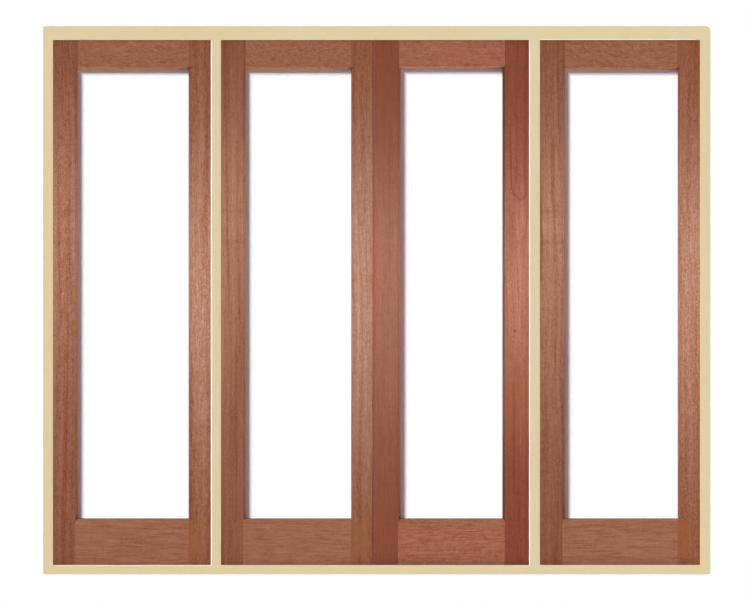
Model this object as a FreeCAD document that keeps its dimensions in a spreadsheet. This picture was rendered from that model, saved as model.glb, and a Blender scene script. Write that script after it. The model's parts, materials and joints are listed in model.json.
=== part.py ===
import FreeCAD, Part
import math
import os
import Sketcher

# French doors with a fixed sidelight each side. Millimetres, X to the right, Y away from the
# viewer, Z up. The origin is on the underside of the sill, in the middle of the frame.

document = FreeCAD.newDocument("FrenchDoors")
sheet = document.addObject("Spreadsheet::Sheet", "Sizes")

sizes = [
    ("half_width", 1259, "half the overall width of the frame"),
    ("frame_height", 2069, "overall height of the frame"),
    ("frame_depth", 68, "front to back depth of the frame"),
    ("left_jamb_face", 37.5, "widths of the posts seen from the front"),
    ("left_mullion_face", 38.5, ""),
    ("right_mullion_face", 41.5, ""),
    ("right_jamb_face", 39.5, ""),
    ("head_face", 52.5, "height of the head seen from the front"),
    ("sill_face", 35.5, "height of the sill seen from the front"),
    ("left_bay", 595.5, "clear width between left jamb and left mullion"),
    ("right_bay", 603.5, "clear width between right mullion and right jamb"),
    ("side_lap", 6, "how far a stop laps over a sidelight"),
    ("door_stop", 12, "how far a stop stands out beside a door leaf"),
    ("door_gap", 5, "gap all round a door leaf"),
    ("arris", 1, "bevel on the front edges of the frame"),
    ("mullion_bevel", 4.2, "broader bevel on the left edge of each mullion"),
    ("corner_top_left", 3, "rounding of the frame's outer corners"),
    ("corner_top_right", 18, ""),
    ("corner_low_left", 6, ""),
    ("corner_low_right", 9, ""),
    ("post_tenon_length", 18, "stub tenons of jambs and mullions"),
    ("post_tenon_inset", 5, "shoulder all round a stub tenon"),
    ("tenon_space", 1, "free space at the bottom of every mortise"),
    ("overcut", 1, "how far a cut runs past the piece"),
    ("meeting_shift", 13, "how far the meeting line lies left of the middle"),
    ("panel_thickness", 44, "thickness of leaves and sidelights"),
    ("side_outer_stile", 93, "visible width of a sidelight's left stile"),
    ("side_inner_stile", 84, "visible width of a sidelight's right stile"),
    ("left_hinge_stile", 92.5, "visible width"),
    ("left_meeting_stile", 81, "visible width"),
    ("right_meeting_stile", 100, "visible width"),
    ("right_hinge_stile", 100.5, "visible width"),
    ("top_rail", 110.5, "visible height of the top rails but one"),
    ("right_leaf_top_rail", 107.5, "visible height"),
    ("bottom_rail", 176, "visible height of every bottom rail"),
    ("mould_width", 9, "width of the moulding round each pane"),
    ("mould_quirk", 2, "small square step at both ends of the moulding's curve"),
    ("tongue_depth", 18, "from the front face to the glass"),
    ("rebate_width", 12, "width of the glazing rebate and of its beads"),
    ("cope_space", 0.3, "space under the scribed curve of a rail"),
    ("rail_tenon_thick", 12, "tenons of the rails"),
    ("rail_tenon_setback", 20, "from the front face to the tenon"),
    ("rail_tenon_length", 48, ""),
    ("rail_haunch", 26, "from the outer edge of a rail to its tenon"),
    ("edge_bevel", 2, "eased outer edges on the front of leaves and sidelights"),
    ("bead_bevel", 4, "slope on the beads beside the glass"),
    ("pane_thickness", 4, "thickness of one pane of glass"),
    ("pane_space", 6, "space between the two panes of a unit"),
    ("glass_play", 3, "play between the glass and its rebate"),
    ("spacer_width", 7, "bar between the panes"),
    ("hinge_length", 100, ""),
    ("hinge_from_bottom", 207, "from the leaf's bottom to the middle of its lowest hinge"),
    ("hinge_from_top", 170, "from the leaf's top to the middle of its highest hinge"),
    ("hinge_plate", 3, "thickness of the hinge plates"),
    ("hinge_plate_width", 30, "how far a plate is let into the edge"),
    ("knuckle_radius", 6, ""),
    ("knuckle_setback", 7, "from the back face to the hinge axis"),
    ("knuckle_space", 0.3, "end play between knuckles"),
    ("pin_radius", 3.5, ""),
    ("pin_play", 0.05, "radial play of the pin"),
    ("pin_tip_radius", 5, ""),
    ("pin_tip_height", 3, ""),
    ("seal_free", 0.3, "space between the meeting seal and the right leaf"),
    ("seal_depth", 10, "front to back size of the meeting seal"),
    ("seal_recess", 3, "from the leaves' front face to the meeting seal"),
]


class Size:
    """A number together with the expression that gives it from the sheet."""

    def __init__(self, value, text):
        self.value = float(value)
        self.text = text

    def __add__(self, other):
        other = size(other)
        return Size(self.value + other.value, "(%s + %s)" % (self.text, other.text))

    def __sub__(self, other):
        other = size(other)
        return Size(self.value - other.value, "(%s - %s)" % (self.text, other.text))

    def __mul__(self, factor):
        return Size(self.value * factor, "%s * %s" % (self.text, factor))

    def __truediv__(self, factor):
        return Size(self.value / factor, "%s / %s" % (self.text, factor))

    def __neg__(self):
        return Size(-self.value, "-1 * %s" % self.text)


def size(value):
    return value if isinstance(value, Size) else Size(value, str(value))


named = {}
for row, (alias, value, note) in enumerate(sizes, start=1):
    sheet.set("A%d" % row, alias)
    sheet.set("B%d" % row, str(value))
    sheet.set("C%d" % row, note)
    sheet.setAlias("B%d" % row, alias)
    named[alias] = Size(value, "Sizes." + alias)
document.recompute()

zero = size(0)


def bind(thing, path, amount):
    thing.setExpression(path, size(amount).text)


def new_body(name, x, y, z):
    body = document.addObject("PartDesign::Body", name)
    body.Label = name
    body.AllowCompound = True
    bind(body, "Placement.Base.x", x)
    bind(body, "Placement.Base.y", y)
    bind(body, "Placement.Base.z", z)
    return body


def origin_plane(body, role):
    for item in body.Origin.OriginFeatures:
        if item.Role == role:
            return item
    raise ValueError("no plane " + role)


def pin_point(sketch, geometry, point, x, y):
    """Ties one point to the sketch's origin in both directions."""
    for kind, amount, axis in (("DistanceX", x, -2), ("DistanceY", y, -1)):
        if abs(amount.value) < 1e-9:
            sketch.addConstraint(Sketcher.Constraint("PointOnObject", geometry, point, axis))
            continue
        if amount.value > 0:
            ends = (-1, 1, geometry, point)
        else:
            ends = (geometry, point, -1, 1)
            amount = -amount
        index = sketch.addConstraint(Sketcher.Constraint(kind, *ends, amount.value))
        sketch.setExpression("Constraints[%d]" % index, amount.text)


def new_sketch(body, name, plane, offset):
    sketch = body.newObject("Sketcher::SketchObject", name)
    sketch.AttachmentSupport = [(origin_plane(body, plane), "")]
    sketch.MapMode = "FlatFace"
    offset = size(offset)
    if plane == "XZ_Plane":
        offset = -offset
    bind(sketch, "AttachmentOffset.Base.z", offset)
    return sketch


def draw_loop(sketch, corners):
    """Draws a closed outline. A corner is (x, y), or (x, y, centre) after an arc."""
    points = [(size(corner[0]), size(corner[1])) for corner in corners]
    ends = []
    for number in range(len(corners)):
        here = points[number]
        there = points[(number + 1) % len(corners)]
        start = FreeCAD.Vector(here[0].value, here[1].value, 0)
        finish = FreeCAD.Vector(there[0].value, there[1].value, 0)
        next_corner = corners[(number + 1) % len(corners)]
        if len(next_corner) == 2:
            geometry = sketch.addGeometry(Part.LineSegment(start, finish))
            ends.append((geometry, 1, 2))
            continue
        centre_x, centre_y = size(next_corner[2][0]), size(next_corner[2][1])
        centre = FreeCAD.Vector(centre_x.value, centre_y.value, 0)
        first = math.atan2(start.y - centre.y, start.x - centre.x)
        last = math.atan2(finish.y - centre.y, finish.x - centre.x)
        turn = (last - first) % (2 * math.pi)
        circle = Part.Circle(centre, FreeCAD.Vector(0, 0, 1), (start - centre).Length)
        if turn < math.pi:
            geometry = sketch.addGeometry(Part.ArcOfCircle(circle, first, first + turn))
            ends.append((geometry, 1, 2))
        else:
            geometry = sketch.addGeometry(Part.ArcOfCircle(circle, last, last + 2 * math.pi - turn))
            ends.append((geometry, 2, 1))
        if abs(centre_x.value) < 1e-9:
            sketch.addConstraint(Sketcher.Constraint("PointOnObject", geometry, 3, -2))
        elif centre_x.value > 0:
            index = sketch.addConstraint(
                Sketcher.Constraint("DistanceX", -1, 1, geometry, 3, centre_x.value))
            sketch.setExpression("Constraints[%d]" % index, centre_x.text)
        else:
            index = sketch.addConstraint(
                Sketcher.Constraint("DistanceX", geometry, 3, -1, 1, -centre_x.value))
            sketch.setExpression("Constraints[%d]" % index, (-centre_x).text)
    for number in range(len(ends)):
        previous = ends[number - 1]
        sketch.addConstraint(Sketcher.Constraint(
            "Coincident", previous[0], previous[2], ends[number][0], ends[number][1]))
        pin_point(sketch, ends[number][0], ends[number][1], *points[number])


def draw_circle(sketch, x, y, radius):
    x, y, radius = size(x), size(y), size(radius)
    circle = Part.Circle(
        FreeCAD.Vector(x.value, y.value, 0), FreeCAD.Vector(0, 0, 1), radius.value)
    geometry = sketch.addGeometry(circle)
    pin_point(sketch, geometry, 3, x, y)
    index = sketch.addConstraint(Sketcher.Constraint("Radius", geometry, radius.value))
    sketch.setExpression("Constraints[%d]" % index, radius.text)


def rectangle(x1, y1, x2, y2):
    return [(x1, y1), (x2, y1), (x2, y2), (x1, y2)]


def pad(body, sketch, length):
    """Raises a sketch towards +X, +Y or +Z."""
    feature = body.newObject("PartDesign::Pad", sketch.Name + "Pad")
    feature.Profile = sketch
    feature.Reversed = "XZ" in sketch.AttachmentSupport[0][0].Role
    bind(feature, "Length", length)
    sketch.Visibility = False
    return feature


def pocket(body, sketch, length):
    """Cuts a sketch towards +X, +Y or +Z, and checks that it took material away."""
    document.recompute()
    before = body.Shape.Volume
    feature = body.newObject("PartDesign::Pocket", sketch.Name + "Pocket")
    feature.Profile = sketch
    feature.Reversed = "XZ" not in sketch.AttachmentSupport[0][0].Role
    bind(feature, "Length", length)
    sketch.Visibility = False
    document.recompute()
    if body.Shape.Volume > before - 0.5:
        raise ValueError("%s cuts nothing" % feature.Name)
    return feature


def outline_pad(body, name, plane, offset, length, *loops):
    sketch = new_sketch(body, name, plane, offset)
    for loop in loops:
        draw_loop(sketch, loop)
    return pad(body, sketch, length)


def outline_pocket(body, name, plane, offset, length, *loops):
    sketch = new_sketch(body, name, plane, offset)
    for loop in loops:
        draw_loop(sketch, loop)
    return pocket(body, sketch, length)


half_width = named["half_width"]
frame_height = named["frame_height"]
frame_depth = named["frame_depth"]
head_face = named["head_face"]
sill_face = named["sill_face"]
thickness = named["panel_thickness"]
side_lap = named["side_lap"]
door_stop = named["door_stop"]
door_gap = named["door_gap"]
arris = named["arris"]

overcut = named["overcut"]

front = -frame_depth / 2
back = frame_depth / 2
# The stops take what the leaves and the gap before them leave of the frame's depth.
stop_depth = frame_depth - thickness - door_gap
# Heights of the seats behind the stops, where posts and sidelights stand.
seat_low = sill_face - door_stop
seat_high = frame_height - head_face + door_stop
seat_height = seat_high - seat_low
leaf_low = seat_low + door_gap
leaf_high = seat_high - door_gap
post_face = {name: named[name + "_face"]
             for name in ("left_jamb", "left_mullion", "right_mullion", "right_jamb")}
# Left edge of each post, seen from the front.
right_bay_end = half_width - post_face["right_jamb"]
post_left = {
    "left_jamb": -half_width,
    "left_mullion": post_face["left_jamb"] + named["left_bay"] - half_width,
    "right_mullion": right_bay_end - named["right_bay"] - post_face["right_mullion"],
    "right_jamb": right_bay_end,
}
# How far the stops stand out to the left and to the right of each post's web.
post_stops = {
    "left_jamb": (zero, side_lap),
    "left_mullion": (side_lap, door_stop),
    "right_mullion": (door_stop, side_lap),
    "right_jamb": (side_lap, zero),
}


def post_tenon(name):
    """Plan of a post's stub tenon, measured from the post's left front edge."""
    inset = named["post_tenon_inset"]
    left, right = post_stops[name]
    return (left + inset, stop_depth + inset,
            post_face[name] - right - inset, frame_depth - inset * 3)


def make_post(name):
    left, right = post_stops[name]
    face = post_face[name]
    body = new_body(name, post_left[name], front, seat_low)
    outline_pad(body, name + "_web", "XY_Plane", zero, seat_height,
                rectangle(left, stop_depth, face - right, frame_depth))
    stops = [(face, stop_depth), (zero, stop_depth)]
    bevel = named["mullion_bevel"] if right.value > 0 else arris
    if left.value > 0:
        stops += [(zero, bevel), (bevel, zero)]
    else:
        stops += [(zero, zero)]
    if right.value > 0:
        stops += [(face - arris, zero), (face, arris)]
    else:
        stops += [(face, zero)]
    outline_pad(body, name + "_stops", "XY_Plane", door_stop,
                seat_height - door_stop * 2, stops)
    length = named["post_tenon_length"]
    outline_pad(body, name + "_tenons", "XY_Plane", -length, seat_height + length * 2,
                rectangle(*post_tenon(name)))
    return body


def cut_bays(body, name, depth_line, height_line):
    """Bevels the front edge of head or sill between the posts."""
    order = ["left_jamb", "left_mullion", "right_mullion", "right_jamb"]
    for number in range(3):
        start = post_left[order[number]] + post_face[order[number]] + half_width
        width = post_left[order[number + 1]] + half_width - start
        outline_pocket(body, "%s_bevel_%d" % (name, number + 1), "YZ_Plane", start, width,
                       [(zero, height_line), (depth_line, height_line),
                        (zero, height_line + (arris if name == "head" else -arris))])


def make_head():
    body = new_body("head", -half_width, front, frame_height - head_face)
    width = half_width * 2
    left = named["corner_top_left"]
    right = named["corner_top_right"]
    outline_pad(body, "head_outline", "XZ_Plane", zero, frame_depth, [
        (zero, zero), (width, zero),
        (width, head_face - right),
        (width - right, head_face, (width - right, head_face - right)),
        (left, head_face),
        (zero, head_face - left, (left, head_face - left))])
    outline_pocket(body, "head_rebate", "XZ_Plane", stop_depth, frame_depth - stop_depth,
                   rectangle(zero, zero, width, door_stop))
    for name in post_left:
        x1, y1, x2, y2 = post_tenon(name)
        shift = post_left[name] + half_width
        outline_pocket(body, "head_mortise_" + name, "XY_Plane", door_stop,
                       named["post_tenon_length"] + named["tenon_space"],
                       rectangle(x1 + shift, y1, x2 + shift, y2))
    cut_bays(body, "head", arris, zero)
    return body


def make_sill():
    body = new_body("sill", -half_width, front, zero)
    width = half_width * 2
    left = named["corner_low_left"]
    right = named["corner_low_right"]
    outline_pad(body, "sill_outline", "XZ_Plane", zero, frame_depth, [
        (left, zero, (left, left)), (width - right, zero),
        (width, right, (width - right, right)),
        (width, sill_face), (zero, sill_face),
        (zero, left)])
    outline_pocket(body, "sill_rebate", "XZ_Plane", stop_depth, frame_depth - stop_depth,
                   rectangle(zero, seat_low, width, sill_face))
    depth = named["post_tenon_length"] + named["tenon_space"]
    for name in post_left:
        x1, y1, x2, y2 = post_tenon(name)
        shift = post_left[name] + half_width
        outline_pocket(body, "sill_mortise_" + name, "XY_Plane", seat_low - depth, depth,
                       rectangle(x1 + shift, y1, x2 + shift, y2))
    cut_bays(body, "sill", arris, sill_face)
    return body


mould_width = named["mould_width"]
mould_quirk = named["mould_quirk"]
tongue_depth = named["tongue_depth"]
rebate_width = named["rebate_width"]
cope_space = named["cope_space"]
curve_radius = mould_width - mould_quirk


def moulded_section(width, hand):
    """Section of a stile or rail from its outer edge (0) to the pane, front face at 0."""
    def across(amount):
        return amount if hand > 0 else -amount
    curve_start = across(width - mould_width)
    bevel = named["edge_bevel"]
    return [
        (zero, bevel),
        (across(bevel), zero),
        (curve_start, zero),
        (curve_start, mould_quirk),
        (across(width - mould_quirk), mould_width, (curve_start, mould_width)),
        (across(width), mould_width),
        (across(width), tongue_depth),
        (across(width - rebate_width), tongue_depth),
        (across(width - rebate_width), thickness),
        (zero, thickness),
    ]


def cope_section(edge, hand):
    """What a rail's end loses so that it sits over the moulded edge of a stile.

    The stile's pane edge lies at the place given as edge; the rail lies on the side of hand.
    """
    def inward(amount):
        return edge - amount if hand > 0 else edge + amount
    far = inward(rebate_width + overcut)
    return [
        (far, -overcut),
        (inward(mould_width), -overcut),
        (inward(mould_width), mould_quirk - cope_space),
        (inward(mould_quirk - cope_space), mould_width, (inward(mould_width), mould_width)),
        (edge, mould_width),
        (edge, tongue_depth),
        (far, tongue_depth),
    ]


def swap(corners):
    """Turns an outline over its diagonal, for sketches whose first axis is the depth."""
    turned = []
    for corner in corners:
        if len(corner) == 2:
            turned.append((corner[1], corner[0]))
        else:
            turned.append((corner[1], corner[0], (corner[2][1], corner[2][0])))
    return turned


def tenon_span(rail_width):
    """Lower and upper limit of a tenon, measured from the outer edge of its rail."""
    return named["rail_haunch"], rail_width - rebate_width


def make_stile(name, x, y, z, width, height, hand, top_width, bottom_width):
    body = new_body(name, x, y, z)
    outline_pad(body, name + "_section", "XY_Plane", zero, height, moulded_section(width, hand))
    depth = named["rail_tenon_length"] + named["tenon_space"]
    start = width - rebate_width - depth if hand > 0 else rebate_width - width
    setback = named["rail_tenon_setback"]
    for rail, rail_width in (("top", top_width), ("bottom", bottom_width)):
        low, high = tenon_span(rail_width)
        if rail == "top":
            low, high = height - high, height - low
        outline_pocket(body, "%s_%s_mortise" % (name, rail), "YZ_Plane", start, depth,
                       rectangle(setback, low, setback + named["rail_tenon_thick"], high))
    return body


def make_rail(name, x, y, z, width, opening, hand):
    """A rail whose local zero lies at the left pane edge and at the rail's outer edge."""
    body = new_body(name, x, y, z)
    outline_pad(body, name + "_section", "YZ_Plane", -rebate_width, opening + rebate_width * 2,
                swap(moulded_section(width, hand)))
    start = -overcut if hand > 0 else -width - overcut
    outline_pocket(body, name + "_cope_left", "XY_Plane", start, width + overcut * 2,
                   cope_section(zero, 1))
    outline_pocket(body, name + "_cope_right", "XY_Plane", start, width + overcut * 2,
                   cope_section(opening, -1))
    low, high = tenon_span(width)
    if hand < 0:
        low, high = -high, -low
    setback = named["rail_tenon_setback"]
    reach = rebate_width + named["rail_tenon_length"]
    outline_pad(body, name + "_tenons", "YZ_Plane", -reach, opening + reach * 2,
                rectangle(setback, low, setback + named["rail_tenon_thick"], high))
    return body


pane_thickness = named["pane_thickness"]
pane_space = named["pane_space"]
unit_thickness = pane_thickness * 2 + pane_space


def make_glass(prefix, x, y, z, opening, height):
    edge = rebate_width - named["glass_play"]
    body = new_body(prefix + "_glass", x, y + tongue_depth, z)
    outer = rectangle(-edge, -edge, opening + edge, height + edge)
    outline_pad(body, prefix + "_front_pane", "XZ_Plane", zero, pane_thickness, outer)
    outline_pad(body, prefix + "_back_pane", "XZ_Plane", pane_thickness + pane_space,
                pane_thickness, outer)
    spacer = new_body(prefix + "_spacer", x, y + tongue_depth + pane_thickness, z)
    inner_edge = edge - named["spacer_width"]
    outline_pad(spacer, prefix + "_spacer_ring", "XZ_Plane", zero, pane_space,
                rectangle(-edge, -edge, opening + edge, height + edge),
                rectangle(-inner_edge, -inner_edge, opening + inner_edge, height + inner_edge))
    return [body, spacer]


def bevel_edges(body, name, is_chosen, amount):
    document.recompute()
    base = body.Tip
    chosen = ["Edge%d" % (number + 1) for number, edge in enumerate(base.Shape.Edges)
              if is_chosen(edge.BoundBox)]
    feature = body.newObject("PartDesign::Chamfer", name)
    feature.Base = (base, chosen)
    bind(feature, "Size", amount)
    base.Visibility = False


def make_beads(prefix, x, y, z, opening, height):
    setback = tongue_depth + unit_thickness
    depth = thickness - setback
    wide = rebate_width
    upright = new_body(prefix + "_upright_beads", x, y + setback, z)
    outline_pad(upright, prefix + "_upright_bead_faces", "XZ_Plane", zero, depth,
                [(-wide, -wide), (zero, zero), (zero, height), (-wide, height + wide)],
                [(opening, zero), (opening + wide, -wide),
                 (opening + wide, height + wide), (opening, height)])

    def is_upright_sight_edge(box):
        at_back = box.YMin > depth.value - 0.01
        at_side = abs(box.XMin) < 0.01 or abs(box.XMin - opening.value) < 0.01
        return at_back and at_side and box.XLength < 0.01
    bevel_edges(upright, prefix + "_upright_bevel", is_upright_sight_edge, named["bead_bevel"])
    level = new_body(prefix + "_level_beads", x, y + setback, z)
    outline_pad(level, prefix + "_level_bead_faces", "XZ_Plane", zero, depth,
                [(-wide, -wide), (opening + wide, -wide), (opening, zero), (zero, zero)],
                [(zero, height), (opening, height),
                 (opening + wide, height + wide), (-wide, height + wide)])

    def is_level_sight_edge(box):
        at_back = box.YMin > depth.value - 0.01
        at_end = abs(box.ZMin) < 0.01 or abs(box.ZMin - height.value) < 0.01
        return at_back and at_end and box.ZLength < 0.01
    bevel_edges(level, prefix + "_level_bevel", is_level_sight_edge, named["bead_bevel"])
    return [upright, level]


def make_panel(prefix, left, right, low, high, y, stiles, rails):
    """Two stiles, two rails, a glazed unit and its beads, in the rectangle given."""
    left_stile, right_stile = stiles
    top_width, bottom_width = rails
    height = high - low
    opening = right - left - left_stile - right_stile
    pane_height = height - top_width - bottom_width
    pane_x = left + left_stile
    pane_z = low + bottom_width
    parts = {
        "left": make_stile(prefix + "_left_stile", left, y, low, left_stile, height, 1,
                           top_width, bottom_width),
        "right": make_stile(prefix + "_right_stile", right, y, low, right_stile, height, -1,
                            top_width, bottom_width),
        "top": make_rail(prefix + "_top_rail", pane_x, y, high, top_width, opening, -1),
        "bottom": make_rail(prefix + "_bottom_rail", pane_x, y, low, bottom_width, opening, 1),
    }
    others = make_glass(prefix, pane_x, y, pane_z, opening, pane_height)
    others += make_beads(prefix, pane_x, y, pane_z, opening, pane_height)
    return parts, list(parts.values()) + others


hinge_length = named["hinge_length"]
plate = named["hinge_plate"]
plate_width = named["hinge_plate_width"]
knuckle_radius = named["knuckle_radius"]
knuckle_setback = named["knuckle_setback"]
pin_radius = named["pin_radius"]
knuckle_count = 3


hinge_low = leaf_low + named["hinge_from_bottom"]
hinge_high = leaf_high - named["hinge_from_top"]


def hinge_bottom(number):
    """Height of one hinge's lower end; the second hinge lies halfway."""
    return hinge_low + (hinge_high - hinge_low) / 2 * number - hinge_length / 2


def make_hinge_half(name, axis_x, hand, knuckles):
    """Three plates with their knuckles, zero at the hinge axis; hand is the plate's side."""
    def side(amount):
        return amount if hand > 0 else -amount
    body = new_body(name, axis_x, back + knuckle_setback, zero)
    near = side(door_gap / 2)
    far = side(door_gap / 2 + plate)
    step = hinge_length / knuckle_count
    space = named["knuckle_space"]
    for number in range(3):
        bottom = hinge_bottom(number)
        outline_pad(body, "%s_plate_%d" % (name, number + 1), "XY_Plane", bottom, hinge_length,
                    rectangle(near, -knuckle_setback - plate_width, far, -knuckle_setback))
        for knuckle in knuckles:
            start = bottom + step * knuckle + space / 2
            label = "%s_knuckle_%d_%d" % (name, number + 1, knuckle + 1)
            outline_pad(body, label + "_tail", "XY_Plane", start, step - space,
                        rectangle(near, -knuckle_setback, far, zero))
            sketch = new_sketch(body, label, "XY_Plane", start)
            draw_circle(sketch, zero, zero, knuckle_radius)
            pad(body, sketch, step - space)
        sketch = new_sketch(body, "%s_bore_%d" % (name, number + 1), "XY_Plane",
                            bottom - overcut)
        draw_circle(sketch, zero, zero, pin_radius + named["pin_play"])
        pocket(body, sketch, hinge_length + overcut * 2)
    return body


def make_pins(name, axis_x):
    body = new_body(name, axis_x, back + knuckle_setback, zero)
    tip = named["pin_tip_height"]
    space = named["knuckle_space"] / 2
    for number in range(3):
        bottom = hinge_bottom(number)
        sketch = new_sketch(body, "%s_shank_%d" % (name, number + 1), "XY_Plane", bottom)
        draw_circle(sketch, zero, zero, pin_radius)
        pad(body, sketch, hinge_length)
        for end, start in (("low", bottom + space - tip), ("high", bottom + hinge_length - space)):
            sketch = new_sketch(body, "%s_%s_tip_%d" % (name, end, number + 1), "XY_Plane", start)
            draw_circle(sketch, zero, zero, named["pin_tip_radius"])
            pad(body, sketch, tip)
    return body


def let_in_plates(body, name, x, hand, y, base):
    """Sinks the seats of three hinge plates into an edge that faces the side of hand."""
    for number in range(3):
        start = x - plate if hand > 0 else x
        outline_pocket(body, "%s_hinge_seat_%d" % (name, number + 1), "YZ_Plane", start, plate,
                       rectangle(y - plate_width, hinge_bottom(number) - base,
                                 y, hinge_bottom(number) + hinge_length - base))


parts = [make_head(), make_sill()]
posts = {name: make_post(name) for name in post_left}
parts += list(posts.values())

# Faces of the webs, and the rectangles that leaves and sidelights fill.
left_web = post_left["left_mullion"] + post_face["left_mullion"] - door_stop
right_web = post_left["right_mullion"] + door_stop
meeting = -named["meeting_shift"]
leaf_lap = door_stop - door_gap
side_rails = (named["top_rail"] + door_stop, named["bottom_rail"] + door_stop)
leaf_rails = (named["top_rail"] + leaf_lap, named["bottom_rail"] + leaf_lap)
right_leaf_rails = (named["right_leaf_top_rail"] + leaf_lap, named["bottom_rail"] + leaf_lap)
side_stiles = (named["side_outer_stile"] + side_lap, named["side_inner_stile"] + side_lap)
side_front = front + stop_depth
leaf_front = side_front + door_gap

for side, left, right in (
        ("left_sidelight", post_face["left_jamb"] - side_lap - half_width,
         post_left["left_mullion"] + side_lap),
        ("right_sidelight", post_left["right_mullion"] + post_face["right_mullion"] - side_lap,
         post_left["right_jamb"] + side_lap)):
    parts += make_panel(side, left, right, seat_low, seat_high, side_front,
                        side_stiles, side_rails)[1]

left_members, left_nodes = make_panel(
    "left_leaf", left_web + door_gap, meeting - door_gap / 2, leaf_low, leaf_high, leaf_front,
    (named["left_hinge_stile"] + leaf_lap, named["left_meeting_stile"]), leaf_rails)
right_members, right_nodes = make_panel(
    "right_leaf", meeting + door_gap / 2, right_web - door_gap, leaf_low, leaf_high, leaf_front,
    (named["right_meeting_stile"], named["right_hinge_stile"] + leaf_lap), right_leaf_rails)
parts += left_nodes + right_nodes

left_axis = left_web + door_gap / 2
right_axis = right_web - door_gap / 2
frame_knuckles = (0, 2)
leaf_knuckles = (1,)
parts += [
    make_hinge_half("left_frame_hinges", left_axis, -1, frame_knuckles),
    make_hinge_half("left_leaf_hinges", left_axis, 1, leaf_knuckles),
    make_pins("left_hinge_pins", left_axis),
    make_hinge_half("right_frame_hinges", right_axis, 1, frame_knuckles),
    make_hinge_half("right_leaf_hinges", right_axis, -1, leaf_knuckles),
    make_pins("right_hinge_pins", right_axis),
]
let_in_plates(posts["left_mullion"], "left_mullion", post_face["left_mullion"] - door_stop, 1,
              frame_depth, seat_low)
let_in_plates(posts["right_mullion"], "right_mullion", door_stop, -1, frame_depth, seat_low)
let_in_plates(left_members["left"], "left_leaf", zero, -1, thickness, leaf_low)
let_in_plates(right_members["right"], "right_leaf", zero, 1, thickness, leaf_low)

seal = new_body("meeting_seal", meeting - door_gap / 2, leaf_front + named["seal_recess"],
                leaf_low)
outline_pad(seal, "seal_section", "XY_Plane", zero, leaf_high - leaf_low,
            rectangle(zero, zero, door_gap - named["seal_free"], named["seal_depth"]))
parts.append(seal)

document.recompute()
for thing in document.Objects:
    if "Invalid" in thing.State or "Error" in thing.State:
        raise ValueError("%s is not valid: %s" % (thing.Label, thing.State))

os.makedirs("parts", exist_ok=True)
for part in parts:
    if part.Shape.isNull() or not part.Shape.isValid():
        raise ValueError("%s has no valid shape" % part.Label)
    part.Shape.exportStep("parts/%s.step" % part.Label)
print("wrote", len(parts), "parts")
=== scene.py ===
import json
import math
import bpy
from mathutils import Euler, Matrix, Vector

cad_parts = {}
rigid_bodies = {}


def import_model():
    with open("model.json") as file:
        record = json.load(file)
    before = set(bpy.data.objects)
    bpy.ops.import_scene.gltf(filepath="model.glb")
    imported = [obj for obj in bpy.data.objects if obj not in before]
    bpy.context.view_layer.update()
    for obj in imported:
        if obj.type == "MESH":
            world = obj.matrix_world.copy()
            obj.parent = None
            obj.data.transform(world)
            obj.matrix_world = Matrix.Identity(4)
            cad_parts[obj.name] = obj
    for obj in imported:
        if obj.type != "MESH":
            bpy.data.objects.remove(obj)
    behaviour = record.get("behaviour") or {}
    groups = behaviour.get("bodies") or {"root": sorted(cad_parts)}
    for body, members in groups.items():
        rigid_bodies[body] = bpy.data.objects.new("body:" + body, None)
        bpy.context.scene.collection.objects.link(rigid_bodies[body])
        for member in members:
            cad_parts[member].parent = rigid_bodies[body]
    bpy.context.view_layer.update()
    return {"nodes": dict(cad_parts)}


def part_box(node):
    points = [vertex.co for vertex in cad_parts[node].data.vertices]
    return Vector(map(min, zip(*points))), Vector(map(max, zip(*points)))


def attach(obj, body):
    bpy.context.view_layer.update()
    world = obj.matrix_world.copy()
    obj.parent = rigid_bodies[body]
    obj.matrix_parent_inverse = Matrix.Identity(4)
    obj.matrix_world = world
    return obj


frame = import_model()
nodes = frame["nodes"]
print("joinery loaded:", len(nodes), "pieces")

panels = ("left_sidelight", "left_leaf", "right_leaf", "right_sidelight")
posts = ("left_jamb", "left_mullion", "right_mullion", "right_jamb")
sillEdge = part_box("sill")[1].z
headEdge = 2.0165    # the head's visible lower edge

# the visible edges of each pane: left, right, foot and top
paneEdges = {}
for panel in panels:
    paneEdges[panel] = (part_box(panel + "_left_stile")[1].x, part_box(panel + "_right_stile")[0].x,
                        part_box(panel + "_bottom_rail")[1].z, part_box(panel + "_top_rail")[0].z)


def fromScreen(colour, haze=0.0):
    # the paint that shows as this screen colour (0 to 255) once its gloss has added the haze
    linear = []
    for part in colour:
        part = part / 255
        part = part / 12.92 if part <= 0.04045 else ((part + 0.055) / 1.055) ** 2.4
        linear.append(max(part - haze, 0.002))
    return tuple(linear) + (1.0,)


class Wire:
    # one socket of a node tree, with the usual operators
    def __init__(self, sheet, socket):
        self.sheet = sheet
        self.socket = socket

    def __add__(self, other):
        return self.sheet.maths("ADD", self, other)

    def __sub__(self, other):
        return self.sheet.maths("SUBTRACT", self, other)

    def __rsub__(self, other):
        return self.sheet.maths("SUBTRACT", other, self)

    def __mul__(self, other):
        return self.sheet.maths("MULTIPLY", self, other)

    def __truediv__(self, other):
        return self.sheet.maths("DIVIDE", self, other)

    def __rtruediv__(self, other):
        return self.sheet.maths("DIVIDE", other, self)

    def __pow__(self, other):
        return self.sheet.maths("POWER", self, other)

    __radd__ = __add__
    __rmul__ = __mul__


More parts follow.
